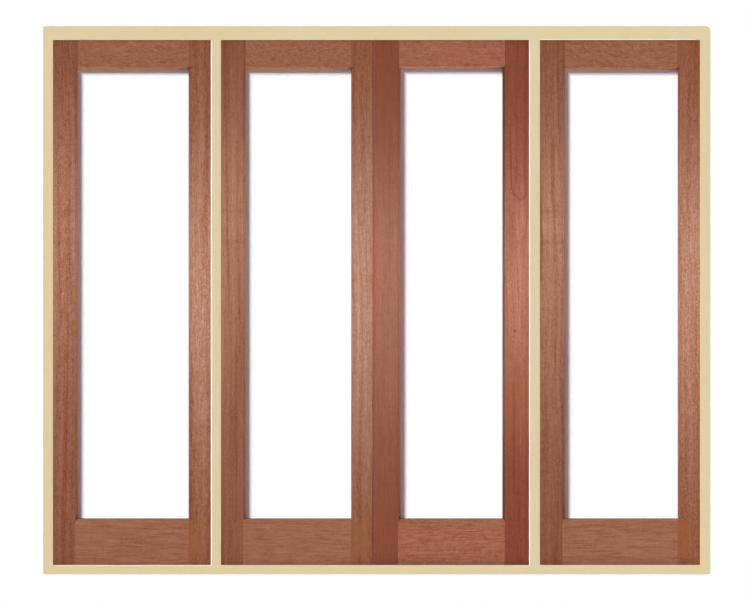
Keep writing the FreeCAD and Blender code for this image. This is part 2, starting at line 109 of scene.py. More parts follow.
class Sheet:
    # a tree that is being wired, for a finish or for a row of fixings
    def __init__(self, tree):
        self.tree = tree
        tree.nodes.clear()

    def add(self, kind, settings=None, **sockets):
        # a socket goes by its name, with _ for a space, or as in and its number
        node = self.tree.nodes.new(kind)
        for name, value in (settings or {}).items():
            setattr(node, name, value)
        for name, value in sockets.items():
            if name.startswith("in"):
                socket = node.inputs[int(name[2:])]
            else:
                socket = node.inputs[name.replace("_", " ")]
            if isinstance(value, Wire):
                self.tree.links.new(value.socket, socket)
            else:
                socket.default_value = value
        return node

    def out(self, node, name=0):
        return Wire(self, node.outputs[name])

    def maths(self, operation, first, second=0.0):
        return self.out(self.add("ShaderNodeMath", {"operation": operation}, in0=first, in1=second))

    def between(self, value, low, high):
        # 0 below low, 1 above high, soft in between
        node = self.add("ShaderNodeMapRange", {"interpolation_type": "SMOOTHSTEP"},
                        Value=value, From_Min=low, From_Max=high)
        return self.out(node)

    def span(self, value, low, high, edge):
        # 1 from low to high, with soft ends
        return (self.between(value, low - edge, low + edge)
                * (1.0 - self.between(value, high - edge, high + edge)))

    def bell(self, value, middle, spread):
        away = (value - middle) / spread
        return self.maths("EXPONENT", away * away * -0.5)

    def blend(self, amount, first, second):
        node = self.add("ShaderNodeMix", {"data_type": "RGBA", "clamp_factor": True},
                        in0=amount, in6=first, in7=second)
        return self.out(node, 2)

    def shade(self, colour, amount):
        # a colour made lighter or darker by a value
        if not isinstance(colour, Wire):
            colour = tuple(colour[:3])
        node = self.add("ShaderNodeVectorMath", {"operation": "SCALE"}, in0=colour, in3=amount)
        return self.out(node)

    def deepen(self, colour, amount, depths=(0.75, 1.3, 1.85)):
        # lighter or darker by a value, each part of the colour by its own share of it
        factor = self.add("ShaderNodeVectorMath", {"operation": "ADD"},
                          in0=self.shade(depths, amount), in1=(1.0, 1.0, 1.0))
        return self.out(self.add("ShaderNodeVectorMath", {"operation": "MULTIPLY"}, in0=colour,
                                 in1=self.out(factor)))

    def place(self):
        return self.out(self.add("ShaderNodeTexCoord"), "Object")

    def split(self, vector):
        node = self.add("ShaderNodeSeparateXYZ", in0=vector)
        return self.out(node, 0), self.out(node, 1), self.out(node, 2)

    def join(self, x, y, z):
        return self.out(self.add("ShaderNodeCombineXYZ", in0=x, in1=y, in2=z))

    def cloud(self, vector, scale=1.0, detail=2.0, rough=0.5):
        # soft noise; three numbers as the scale stretch it
        if isinstance(scale, tuple):
            vector = self.out(self.add("ShaderNodeMapping", Vector=vector, Scale=scale))
            scale = 1.0
        node = self.add("ShaderNodeTexNoise", Vector=vector, Scale=scale,
                        Detail=detail, Roughness=rough)
        return self.out(node)

    def finish(self, colour, rough, fixed, height, bump, depth):
        raised = self.add("ShaderNodeBump", Height=height, Strength=bump, Distance=depth)
        shader = self.add("ShaderNodeBsdfPrincipled", Base_Color=colour, Roughness=rough,
                          Normal=self.out(raised))
        for name, value in fixed.items():
            shader.inputs[name].default_value = value
        return self.out(shader)

    def surface(self, wire):
        self.add("ShaderNodeOutputMaterial", in0=wire)


def newFinish(name):
    finish = bpy.data.materials.new(name)
    finish.use_nodes = True
    return finish, Sheet(finish.node_tree)


def dress(name, finish):
    slots = nodes[name].data.materials
    slots.clear()
    slots.append(finish)


# ends and middle: the tone at the ends and the lighter tone at mid-height, a painted highlight;
# highlightHeight:
# height of the painted highlight; spread: how far it reaches down and up, in metres; the others:
# how strongly each figure shows
hardwood = {
    "haze": 0.014,
    "gloss": 0.44,
    "sheen": 0.30,
    "relief": (0.22, 0.0006),
    "sway": 0.035,
    "broad": 0.10,
    "pores": 0.16,
    "redder": (0.92, 0.66, 0.62),
    "nextBoard": (1.7, 0.31, 0.83),    # how far on in the pattern the next board is cut
    # how often each figure comes in a metre: across the board, through it and along it
    "scales": {"sway": (1.6, 1.6, 1.1), "ribbon": (52, 52, 0.9), "broad": (13, 13, 1.3),
               "fleck": (230, 230, 13), "mottle": (120, 120, 75), "speckle": (330, 330, 260),
               "pores": (1500, 1500, 42), "stir": (34, 34, 22), "slow": (9, 9, 5)},
    "curl": {"fallLength": 0.13, "stir": 0.040, "slow": 0.10, "along": 40.0, "across": 215.0},
    "stiles": {
        "left": {"ends": (129, 79, 56), "middle": (171, 119, 95), "highlightHeight": 1.34,
                 "spread": (0.54, 0.28), "ribbon": 0.44, "fleck": 0.40, "mottle": 0.28,
                 "speckle": 0.44, "red": 0.30},
        "right": {"ends": (134, 80, 55), "middle": (186, 137, 113), "highlightHeight": 1.14,
                  "spread": (0.48, 0.34), "ribbon": 0.42, "fleck": 0.48, "mottle": 0.36,
                  "speckle": 0.36, "red": 0.16},
        "meeting": {"ends": (127, 71, 51), "middle": (169, 113, 92), "highlightHeight": 1.16,
                    "spread": (0.44, 0.30), "ribbon": 0.10, "fleck": 0.26, "mottle": 0.16,
                    "speckle": 0.22, "red": 0.12},
        "hanging": {"ends": (126, 68, 49), "middle": (178, 120, 98), "highlightHeight": 1.12,
                    "spread": (0.36, 0.30), "ribbon": 0.20, "fleck": 0.42, "mottle": 0.22,
                    "speckle": 0.24, "red": 0.30},
    },
    "rails": {
        "swirled": {"ends": (149, 97, 73), "middle": (149, 97, 73), "ribbon": 0.08,
                    "fleck": 0.12, "mottle": 0.22, "speckle": 0.14, "red": 0.08, "flame": 0.62,
                    "fall": 0.13},
        "topPlain": {"ends": (154, 98, 76), "middle": (154, 98, 76), "ribbon": 0.12,
                     "fleck": 0.34, "mottle": 0.24, "speckle": 0.14, "red": 0.10, "flame": 0.50,
                     "fall": 0.0},
        "bottom": {"ends": (152, 101, 77), "middle": (152, 101, 77), "ribbon": 0.10,
                   "fleck": 0.54, "mottle": 0.18, "speckle": 0.30, "red": 0.10},
        "bottomDark": {"ends": (155, 99, 76), "middle": (155, 99, 76), "ribbon": 0.18,
                       "fleck": 0.56, "mottle": 0.26, "speckle": 0.16, "red": 0.12, "flame": 0.40,
                       "fall": 0.0},
    },
    "bead": {"ends": (146, 92, 68), "middle": (150, 96, 72), "ribbon": 0.12,
             "fleck": 0.30, "mottle": 0.10, "speckle": 0.10, "red": 0.10},
}


def makeHardwood(name, plan, box, upright, seed):
    finish, sheet = newFinish(name)
    low, high = box
    middle = (low + high) / 2
    aside, deeper, further = [seed * step for step in hardwood["nextBoard"]]
    x, y, z = sheet.split(sheet.place())
    # the grain runs along the third direction of the board
    if upright:
        board = sheet.join(x - (middle.x - aside), y + deeper, z + further)
    else:
        board = sheet.join(z - (middle.z - aside), y + deeper, x + further)
    sway = sheet.cloud(board, hardwood["scales"]["sway"], 1.0) - 0.5
    across, depth, along = sheet.split(board)
    board = sheet.join(across + sway * hardwood["sway"], depth, along)

    def figure(kind, detail=2.0, rough=0.5):
        return sheet.cloud(board, hardwood["scales"][kind], detail, rough)

    ribbon = figure("ribbon", 3.0, 0.55)
    broad = figure("broad")
    fleck = figure("fleck", 2.0, 0.6)
    mottle = figure("mottle", 2.0, 0.6)
    speckle = figure("speckle", 0.0)
    pores = sheet.between(figure("pores", 1.0), 0.60, 0.72)
    ends = fromScreen(plan["ends"], hardwood["haze"])
    lit = fromScreen(plan["middle"], hardwood["haze"])
    # a painted highlight: the tone lightens from the ends towards highlightHeight
    if "highlightHeight" in plan:
        below, above = plan["spread"]
        upper = sheet.maths("GREATER_THAN", z, plan["highlightHeight"])
        away = (z - plan["highlightHeight"]) * (1 / below + upper * (1 / above - 1 / below))
        colour = sheet.blend(sheet.maths("EXPONENT", away * away * -0.5), ends, lit)
    else:
        colour = sheet.blend(broad, ends, lit)
    redder = tuple(part * share for part, share in zip(ends, hardwood["redder"])) + (1.0,)
    colour = sheet.blend(sheet.between(ribbon, 0.50, 0.72) * plan["red"], colour, redder)
    tone = ((ribbon - 0.5) * (-2 * plan["ribbon"]) + (fleck - 0.5) * (2 * plan["fleck"])
            + (mottle - 0.5) * (2 * plan["mottle"]) + (broad - 0.5) * hardwood["broad"]
            + (speckle - 0.5) * (2 * plan["speckle"]))
    if "flame" in plan:
        # curly figure: fine streaks, stirred by slow clouds, that may fall steeply at the left
        # end and level out
        curl = hardwood["curl"]
        fall = sheet.maths("EXPONENT", (low.x - x) / curl["fallLength"]) * (-1.0 * plan["fall"])
        level = (z + fall + (figure("stir") - 0.5) * curl["stir"]
                 + (figure("slow", 1.0) - 0.5) * curl["slow"])
        streaks = sheet.join(x * curl["along"], seed * 3.7, level * curl["across"])
        tone = tone + (sheet.cloud(streaks, 1.0, 2.0, 0.6) - 0.5) * (2 * plan["flame"])
    tone = tone - pores * hardwood["pores"]
    colour = sheet.deepen(colour, tone)
    for touch in plan.get("touches", ()):
        colour = touch(sheet, colour, x, z)
    height = fleck * 0.6 + ribbon * 0.4 - pores * 0.8
    rough = hardwood["gloss"] + (fleck - 0.5) * 0.16 + pores * 0.12
    sheet.surface(sheet.finish(colour, rough, {"Specular IOR Level": hardwood["sheen"]},
                               height, *hardwood["relief"]))
    return finish


def patchMask(sheet, box, x, z):
    # box is x0, x1, z0, z1, the width of its edge and, where the ends fade out otherwise,
    # their length
    x0, x1, z0, z1, edge = box[:5]
    fade = box[5] if len(box) > 5 else edge
    return sheet.span(x, x0, x1, edge) * sheet.span(z, z0, z1, fade)


def tint(box, amount, tone):
    # a strip or patch that is lighter or darker than its board
    def touch(sheet, under, x, z):
        return sheet.deepen(under, patchMask(sheet, box, x, z) * amount, tone)
    return touch


def stain(box, colour, amount):
    # a soft-edged patch of another colour
    def touch(sheet, under, x, z):
        mask = patchMask(sheet, box, x, z)
        return sheet.blend(mask * amount, under, fromScreen(colour, hardwood["haze"]))
    return touch


# the arch of dark grain on the right leaf's hanging stile: its middle line, the heights of its
# rounded tip and of the tongue's point, half its width, and how it leans; sizes in metres
arch = {"heart": 0.536, "tip": 1.416, "point": 1.262, "half": 0.0262, "rise": 0.045,
        "dark": -0.28, "pale": 0.0952, "tone": (0.9, 1.2, 1.25), "line": 0.15, "stir": 0.30,
        "lean": (0.30, 0.9), "widen": 0.8, "legEnds": (0.12, 0.36),
        "tongueAside": 0.15, "tongueLength": 0.085, "tongueTop": (-0.03, 0.05)}


def cathedral(sheet, under, x, z):
    # a rounded arch of dark late wood that stands on its tip, and a paler tongue under it
    tip, rise, (leanBelow, leanAbove) = arch["tip"], arch["rise"], arch["lean"]
    stir = (sheet.cloud(sheet.join(x * 22.0, 5.1, z * 7.0)) - 0.5) * arch["stir"]
    below = sheet.maths("MAXIMUM", (tip + rise) - z, 0.0) * (1.0 / rise)
    above = sheet.maths("MAXIMUM", z - tip, 0.0)
    across = (x - arch["heart"]) * (1.0 / arch["half"])
    away = across - below * leanBelow + above * leanAbove
    ring = away * away + below * below - above * arch["widen"] + stir
    start, end = arch["legEnds"]
    line = sheet.bell(ring, 1.0, arch["line"]) * (1.0 - sheet.between(z, tip + start, tip + end))
    across = across - arch["tongueAside"]
    drop = sheet.maths("MAXIMUM", z - arch["point"], 0.001)
    start, end = arch["tongueTop"]
    tongue = ((1.0 - sheet.between(across * across * arch["tongueLength"] / drop + stir, 0.8, 1.2))
              * (1.0 - sheet.between(z, tip + start, tip + end)))
    return sheet.deepen(under, line * arch["dark"] + tongue * arch["pale"], arch["tone"])


# painted light and shade on the moulding on each side of a pane, lighter on the left and top,
# darker on the right and foot: its strength, its tint and its width
mouldings = {
    "left": (1.08, (1.0, 0.95, 0.88), 0.009),
    "right": (0.79, (1.0, 1.25, 1.40), 0.009),
    "top": (1.60, (1.0, 1.05, 0.70), 0.009),
    "bottom": (0.64, (1.0, 1.20, 1.45), 0.0050),
    "fadeOut": 0.0006,
    "fadeIn": 0.0012,
}
# the right leaf's mouldings: a painted highlight, more orange, at the meeting stile, and painted
# shade at the hinges
unlike = {"right_leaf_left_stile": (1.20, (1.0, 0.55, 0.0)),
          "right_leaf_right_stile": (0.40, (1.0, 1.15, 1.25))}


def moulding(side, edge, strength, tone, width):
    # painted light or shade on the moulding beside the glass
    def touch(sheet, under, x, z):
        value = x if side in ("left", "right") else z
        out, into = mouldings["fadeOut"], mouldings["fadeIn"]
        if side in ("left", "bottom"):
            mask = sheet.between(value, edge - width - out, edge - width + into)
        else:
            mask = 1.0 - sheet.between(value, edge + width - into, edge + width + out)
        return sheet.deepen(under, mask * (strength - 1.0), tone)
    return touch


# painted shade where the wood meets the frame and under the head: how strong it is and how far it
# reaches, in metres
paintedShade = {"side": (0.20, 0.024), "foot": (0.20, 0.017), "low": (0.18, 0.055),
         "brow": (0.06, 0.026, 0.002), "top": (0.11, 0.0072, 0.0022),
         "darkLeaf": 1.4, "overlap": 0.004}
postEdges = {"left_sidelight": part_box("left_mullion")[0].x,
             "right_leaf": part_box("right_mullion")[0].x,
             "right_sidelight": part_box("right_jamb")[0].x}


def edgeShade(panel):
    # painted shade where the wood meets the sill under it and the post on its right
    def touch(sheet, under, x, z):
        lap = paintedShade["overlap"]
        amount = 0.0
        for part, share in (("foot", 1.0), ("low", paintedShade["darkLeaf"])):
            strength, reach = paintedShade[part]
            if panel == "right_leaf":
                strength = strength * share
            amount = amount + (1.0 - sheet.between(z, sillEdge - lap, sillEdge + reach)) * strength
        if panel in postEdges:
            strength, reach = paintedShade["side"]
            side = sheet.between(x, postEdges[panel] - reach, postEdges[panel] + lap)
            amount = sheet.maths("MAXIMUM", amount, side * strength)
        return sheet.deepen(under, amount * -1.0, (1.0, 1.0, 1.0))
    return touch


def headShade(sheet, under, x, z):
    # and painted shade under the head as well
    amount = 0.0
    for strength, reach, end in (paintedShade["brow"], paintedShade["top"]):
        amount = amount + sheet.between(z, headEdge - reach, headEdge - end) * strength
    return sheet.deepen(under, amount * -1.0, (1.0, 1.1, 1.1))


stileKinds = {
    "left_sidelight_left_stile": "left", "left_sidelight_right_stile": "right",
    "left_leaf_left_stile": "left", "left_leaf_right_stile": "right",
    "right_leaf_left_stile": "meeting", "right_leaf_right_stile": "hanging",
    "right_sidelight_left_stile": "left", "right_sidelight_right_stile": "right",
}
railKinds = {
    "left_sidelight_top_rail": "swirled", "left_leaf_top_rail": "swirled",
    "right_leaf_top_rail": "topPlain", "right_sidelight_top_rail": "swirled",
    "left_sidelight_bottom_rail": "bottom", "left_leaf_bottom_rail": "bottom",
    "right_leaf_bottom_rail": "bottomDark", "right_sidelight_bottom_rail": "bottom",
}
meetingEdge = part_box("left_leaf_right_stile")[1].x
whole = (-1, 3)    # from below the foot to above the head
fullWidth = (-3, 3)
even = (1.0, 1.0, 1.0)
brownLow = (150, 94, 60)
# the coped ends of the rails have taken the darker oil of the stiles: the tone at the left and
# at the right end, and how far outside the pane's edge it begins
railEnds = {
    "left_sidelight_top_rail": ((128, 76, 55), (137, 83, 59), -0.0008),
    "left_leaf_top_rail": ((128, 76, 55), (137, 83, 59), -0.0008),
    "right_sidelight_top_rail": ((128, 74, 53), (137, 83, 59), -0.0018),
    "right_leaf_top_rail": ((128, 73, 53), None, 0.0040),
    "left_sidelight_bottom_rail": (None, (144, 87, 60), -0.0008),
    "left_leaf_bottom_rail": (None, (144, 87, 60), -0.0008),
    "right_sidelight_bottom_rail": (None, (144, 87, 60), -0.0008),
}
# marks of single boards: a painted highlight on the left leaf's arris at the meeting edge and
# painted shade on the right leaf's edge beside the gap, browner wood low down on the right-hand
# stiles, and on the right leaf's hanging stile an orange patch, a dark streak in it, the arch and a
# small knot
patches = {
    "left_leaf_right_stile": [
        # painted highlight on the left leaf's meeting arris
        tint((meetingEdge - 0.0030, meetingEdge + 0.01) + whole + (0.0006,), 0.42, even),
        stain((-0.082, -0.040, 0.07, 0.20, 0.025), brownLow, 0.6)],
    "left_sidelight_right_stile": [stain((-0.705, -0.664, 0.07, 0.20, 0.025), brownLow, 0.6)],
    "right_sidelight_right_stile": [stain((1.140, 1.181, 0.07, 0.20, 0.025), brownLow, 0.6)],
    "right_leaf_left_stile": [
        # painted shade on the right leaf's edge beside the meeting gap
        tint((meetingEdge, meetingEdge + 0.0078) + whole + (0.0010,), -0.48, (0.65, 1.40, 1.95))],
    "right_leaf_right_stile": [
        stain((0.46, 0.60, 0.52, 0.80, 0.09), (160, 92, 62), 0.5),
        tint((0.511, 0.524, 0.30, 0.70, 0.007, 0.10), -0.22, (0.8, 1.5, 1.5)),
        cathedral,
        stain((0.5195, 0.5255, 0.9135, 0.921, 0.0022), (110, 50, 46), 0.75)],
}
twins = {"left_leaf_left_stile": 1}    # cut from one board with the left sidelight's
# faint bands across the left-hand stiles, where the grain rolls
crossBands = [tint(fullWidth + (1.360, 1.377, 0.01, 0.006), -0.09, even),
              tint(fullWidth + (1.282, 1.336, 0.01, 0.012), 0.06, even),
              tint(fullWidth + (1.244, 1.262, 0.01, 0.006), -0.10, even)]


def darkEnds(panel, leftTone, rightTone, shift):
    x0, x1 = paneEdges[panel][:2]
    touches = []
    if leftTone:
        touches.append(stain((fullWidth[0], x0 - shift) + whole + (0.0007,), leftTone, 0.95))
    if rightTone:
        touches.append(stain((x1 + shift, fullWidth[1]) + whole + (0.0012,), rightTone, 0.95))
    return touches


seed = 1
for name, kind in stileKinds.items():
    plan = dict(hardwood["stiles"][kind])
    panel = name.rsplit("_", 2)[0]
    side = "left" if name.endswith("_left_stile") else "right"
    strength, tone, width = mouldings[side]
    strength, tone = unlike.get(name, (strength, tone))
    edge = paneEdges[panel][0 if side == "left" else 1]
    plan["touches"] = [moulding(side, edge, strength, tone, width), edgeShade(panel), headShade]
    plan["touches"] += patches.get(name, []) + (crossBands if kind == "left" else [])
    dress(name, makeHardwood(name + "Wood", plan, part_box(name), True, twins.get(name, seed)))
    seed += 1
for name, kind in railKinds.items():
    plan = dict(hardwood["rails"][kind])
    panel = name.rsplit("_", 2)[0]
    side = "top" if name.endswith("_top_rail") else "bottom"
    edge = paneEdges[panel][3 if side == "top" else 2]
    plan["touches"] = [moulding(side, edge, *mouldings[side])]
    if name in railEnds:
        plan["touches"] += darkEnds(panel, *railEnds[name])
    plan["touches"].append(headShade)
    if side == "bottom":
        plan["touches"].append(edgeShade(panel))
    dress(name, makeHardwood(name + "Wood", plan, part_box(name), False, seed))
    seed += 1
for panel in panels:
    for row, upright in (("_upright_beads", True), ("_level_beads", False)):
        name = panel + row
        dress(name, makeHardwood(name + "Wood", hardwood["bead"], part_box(name), upright, seed))
        seed += 1
print("hardwood done")

# painted highlights on the frame's arrises: along the mullions' left edges, a little on the head's
# lower arris between the posts and more over the right sidelight, and on the sill's upper arris
# under the left sidelight
paleFrame = {
    "cream": (224, 206, 166),
    "warmer": (0.985, 0.965, 0.92),
    "haze": 0.016,
    "gloss": 0.5,
    "sheen": 0.3,
    "relief": (0.10, 0.0004),
    "scales": {"grain": (160, 160, 6), "cloudy": (6, 6, 2), "fine": (900, 900, 60)},
    "mullionHighlight": (243, 250, 250),
    "mullionHighlightWidth": 0.0042,
    "arris": (0.20, (0.9, 1.15, 1.35)),
    "arrisHeights": (0.0020, 0.0032),
    "headHighlight": (255, 250, 214),
    "headHighlightSpan": (0.6156, 1.2061),
    "headHighlightHeights": (0.0036, 0.0043),
    "sillHighlightSpan": (-1.2085, -0.6217),
    "sillArris": (0.26, (0.75, 1.1, 1.7)),
    "sillHeights": (-0.0044, -0.0032),
}


def makeFramePaint(name, box, upright, seed):
    finish, sheet = newFinish(name)
    low, high = box
    x, y, z = sheet.split(sheet.place())
    if upright:
        board = sheet.join(x + seed * 0.7, y, z + seed * 1.3)
    else:
        board = sheet.join(z + seed * 0.7, y, x + seed * 1.3)
    grain = sheet.cloud(board, paleFrame["scales"]["grain"], 3.0, 0.6)
    cloudy = sheet.cloud(board, paleFrame["scales"]["cloudy"])
    fine = sheet.cloud(board, paleFrame["scales"]["fine"])
    cream = fromScreen(paleFrame["cream"], paleFrame["haze"])
    warm = tuple(part * share for part, share in zip(cream, paleFrame["warmer"])) + (1.0,)
    colour = sheet.blend(sheet.between(cloudy, 0.35, 0.75), cream, warm)
    # painted highlight along the mullion's left arris
    if name.endswith("mullionStain"):
        edge = low.x + paleFrame["mullionHighlightWidth"]
        mullionHighlight = fromScreen(paleFrame["mullionHighlight"], paleFrame["haze"])
        colour = sheet.blend(1.0 - sheet.between(x, edge - 0.0005, edge), colour, mullionHighlight)
    # painted highlight on the head's lower arris, stronger over the right sidelight
    if name == "headStain":
        start, end = paleFrame["arrisHeights"]
        arris = 1.0 - sheet.between(z, headEdge + start, headEdge + end)
        bays = 0.0
        for left, right in zip(posts[:-1], posts[1:]):
            bays = bays + sheet.span(x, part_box(left)[1].x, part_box(right)[0].x, 0.0006)
        headHighlight = sheet.span(x, *paleFrame["headHighlightSpan"], 0.0006)
        amount, tone = paleFrame["arris"]
        colour = sheet.deepen(colour, arris * bays * (1.0 - headHighlight) * amount, tone)
        start, end = paleFrame["headHighlightHeights"]
        line = headHighlight * (1.0 - sheet.between(z, headEdge + start, headEdge + end))
        colour = sheet.blend(line, colour, fromScreen(paleFrame["headHighlight"]))
    # painted highlight on the sill's upper arris under the left sidelight
    if name == "sillStain":
        start, end = paleFrame["sillHeights"]
        bright = (sheet.span(x, *paleFrame["sillHighlightSpan"], 0.0010)
                  * sheet.between(z, sillEdge + start, sillEdge + end))
        amount, tone = paleFrame["sillArris"]
        colour = sheet.deepen(colour, bright * amount, tone)
    colour = sheet.shade(colour, 1.0 + (grain - 0.5) * 0.035 + (fine - 0.5) * 0.03)
    rough = paleFrame["gloss"] + (grain - 0.5) * 0.12
    sheet.surface(sheet.finish(colour, rough, {"Specular IOR Level": paleFrame["sheen"]},
                               grain * 0.7 + fine * 0.3, *paleFrame["relief"]))
    return finish


for name in ("head", "sill") + posts:
    dress(name, makeFramePaint(name + "Stain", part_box(name), name in posts, seed))
    seed += 1
print("pale frame done")

# margin and fade: where the bloom starts and stops thinning, in from the pane's edge; creep: how
# much wider its painted rosy shade is on single panes, in metres
glass = {
    "tint": (0.9992, 1.0, 1.0),
    "mirror": (0.04, 0.9),
    "gloss": 0.02,
    "margin": 0.024,
    "fade": 0.036,
    "rose": (0.88, 0.76, 0.81),
    "roseWidth": (0.012, 0.021),
    "bloom": (1.0, 0.99, 0.99),
    "cover": 0.99,
    "creep": {"left_sidelight": 0.001, "left_leaf": -0.002,
              "right_leaf": 0.005, "right_sidelight": 0.005},
}


def makeGlass(name, pane, front, creep):
    # clear float glass; its front face has a fine white bloom along the left and upper edges, which
    # catches the shade of the mouldings; beside the wood the bloom is tinted rose, a painted
    # reddish shade
    finish, sheet = newFinish(name)
    x, y, z = sheet.split(sheet.place())
    x0, x1, z0, z1 = pane
    nearest = sheet.maths("MINIMUM", x - x0, z1 - z)
    outside = sheet.maths("LESS_THAN", y, front + 0.0005)
    bloom = ((1.0 - sheet.between(nearest, glass["margin"], glass["fade"])) * outside
             * glass["cover"])
    clear = sheet.out(sheet.add("ShaderNodeBsdfTransparent", Color=glass["tint"] + (1.0,)))
    shine = sheet.out(sheet.add("ShaderNodeBsdfGlossy", Color=(1, 1, 1, 1),
                                Roughness=glass["gloss"]))
    facing = sheet.out(sheet.add("ShaderNodeLayerWeight", Blend=0.5), "Facing")
    straight, grazing = glass["mirror"]
    mirror = straight + facing ** 5 * grazing
    shadowRay = sheet.out(sheet.add("ShaderNodeLightPath"), "Is Shadow Ray")
    clean = sheet.out(sheet.add("ShaderNodeMixShader", in0=mirror * (1.0 - shadowRay),
                                in1=clear, in2=shine))
    # rose paints the reddish shade of the wood near the pane's left and upper edges
    start, end = glass["roseWidth"]
    white = sheet.blend(sheet.between(nearest, start + creep, end + creep),
                        glass["rose"] + (1.0,), glass["bloom"] + (1.0,))
    milk = sheet.out(sheet.add("ShaderNodeBsdfDiffuse", Color=white, Roughness=0.0))
    sheet.surface(sheet.out(sheet.add("ShaderNodeMixShader", in0=bloom, in1=clean, in2=milk)))
    return finish


for panel in panels:
    dress(panel + "_glass", makeGlass(panel + "Glass", paneEdges[panel],
                                      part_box(panel + "_glass")[0].y, glass["creep"][panel]))

hardware = {
    "satinSteel": {"colour": (0.56, 0.55, 0.53), "rough": 0.34, "metallic": 1.0,
                   "brushed": (900, 900, 40)},
    "screwSteel": {"colour": (0.62, 0.60, 0.56), "rough": 0.30, "metallic": 1.0,
                   "brushed": (400, 400, 400)},
    "bradSteel": {"colour": (0.40, 0.34, 0.28), "rough": 0.45, "metallic": 1.0,
                  "brushed": (300, 300, 300)},
    "spacerMetal": {"colour": (0.50, 0.50, 0.51), "rough": 0.5, "metallic": 0.8,
                    "brushed": (300, 300, 20)},
}


def makeMetal(name, plan):
    finish, sheet = newFinish(name)
    place = sheet.place()
    brush = sheet.cloud(place, plan["brushed"], 3.0, 0.6)
    patch = sheet.cloud(place, 28.0, 3.0)
    tone = sheet.shade(plan["colour"], 1.0 + (brush - 0.5) * 0.22 + (patch - 0.5) * 0.16)
    rough = plan["rough"] + (patch - 0.5) * 0.2 + (brush - 0.5) * 0.1
    sheet.surface(sheet.finish(tone, rough, {"Metallic": plan["metallic"]}, brush, 0.06, 0.0002))
    return finish


metals = {name: makeMetal(name, plan) for name, plan in hardware.items()}
for side in ("left", "right"):
    for row in ("_frame_hinges", "_leaf_hinges", "_hinge_pins"):
        dress(side + row, metals["satinSteel"])
for panel in panels:
    dress(panel + "_spacer", metals["spacerMetal"])

# the seal is painted lighter around highlightHeight, a painted highlight, and darker towards its
# ends
rubber = {"ends": (0.20, 0.035, 0.012, 1.0), "middle": (0.42, 0.13, 0.065, 1.0), "highlightHeight": 1.1,
          "spread": 0.4, "rough": 0.75, "sheen": 0.03, "relief": (0.15, 0.0003)}
finish, sheet = newFinish("sealRubber")
grip = sheet.cloud(sheet.place(), 700.0)
height = sheet.split(sheet.place())[2]
sealHighlightTone = sheet.blend(sheet.bell(height, rubber["highlightHeight"], rubber["spread"]),
                    rubber["ends"], rubber["middle"])
sheet.surface(sheet.finish(sheet.shade(sealHighlightTone, 0.85 + grip * 0.3),
                           rubber["rough"] + (grip - 0.5) * 0.2,
                           {"Specular IOR Level": rubber["sheen"]}, grip, *rubber["relief"]))
dress("meeting_seal", finish)
print("glass, hinges, spacers and seal done")


def newRow(name, counts, sizes):
    # a tree with its own named inputs
    tree = bpy.data.node_groups.new(name, "GeometryNodeTree")
    sheet = Sheet(tree)
    sockets = [("Geometry", "INPUT", "Geometry")]
    sockets += [(label, "INPUT", "Int") for label in counts]
    sockets += [(label, "INPUT", "Float") for label in sizes]
    for label, way, kind in sockets + [("Geometry", "OUTPUT", "Geometry")]:
        tree.interface.new_socket(name=label, in_out=way, socket_type="NodeSocket" + kind)
    return sheet, sheet.add("NodeGroupInput")


def rowPoints(sheet, given, mode, **spacing):
    # points along the guide lines
    lines = sheet.out(sheet.add("GeometryNodeMeshToCurve", in0=sheet.out(given, "Geometry")))
    spaced = sheet.add("GeometryNodeResampleCurve", {"mode": mode}, Curve=lines, **spacing)
    return sheet.out(sheet.add("GeometryNodeCurveToPoints", {"mode": "EVALUATED"},
                               in0=sheet.out(spaced)))


def roundHead(sheet, given, sides):
    return sheet.out(sheet.add("GeometryNodeMeshCylinder", Vertices=sides,
                               Radius=sheet.out(given, "Radius"),
                               Depth=sheet.out(given, "Thickness")))


def closeRow(sheet, made, finish):
    real = sheet.out(sheet.add("GeometryNodeRealizeInstances", in0=sheet.out(made)))
    dressed = sheet.add("GeometryNodeSetMaterial", Geometry=real, Material=finish)
    sheet.add("NodeGroupOutput", in0=sheet.out(dressed))
    return sheet.tree


def screwRow(finish):
    # cross-headed screws, each turned its own way, the middle one of a plate set aside
    sheet, given = newRow("screwRow", ("Count",), ("Radius", "Thickness", "Stagger",
                                                   "Slot Length", "Slot Width"))
    count = sheet.out(given, "Count")
    points = rowPoints(sheet, given, "COUNT", Count=count)
    index = sheet.out(sheet.add("GeometryNodeInputIndex"))
    second = sheet.maths("COMPARE", sheet.maths("MODULO", index, count), 1.0)
    shift = sheet.join(0.0, second * sheet.out(given, "Stagger"), 0.0)
    points = sheet.out(sheet.add("GeometryNodeSetPosition", Geometry=points, Offset=shift))
    long, wide = sheet.out(given, "Slot Length"), sheet.out(given, "Slot Width")
    deep = sheet.out(given, "Thickness") * 3.0
    cut = sheet.add("GeometryNodeMeshBoolean", {"operation": "DIFFERENCE", "solver": "EXACT"},
                    in0=roundHead(sheet, given, 20))
    for size in (sheet.join(long, wide, deep), sheet.join(wide, long, deep)):
        bar = sheet.out(sheet.add("GeometryNodeMeshCube", Size=size))
        sheet.tree.links.new(bar.socket, cut.inputs[1])
    turn = sheet.out(sheet.add("FunctionNodeRandomValue", {"data_type": "FLOAT"},
                               in2=0.0, in3=1.5, Seed=3), 1)
    made = sheet.add("GeometryNodeInstanceOnPoints", Points=points, Instance=sheet.out(cut),
                     Rotation=sheet.join(turn, math.pi / 2, 0.0))
    return closeRow(sheet, made, finish)


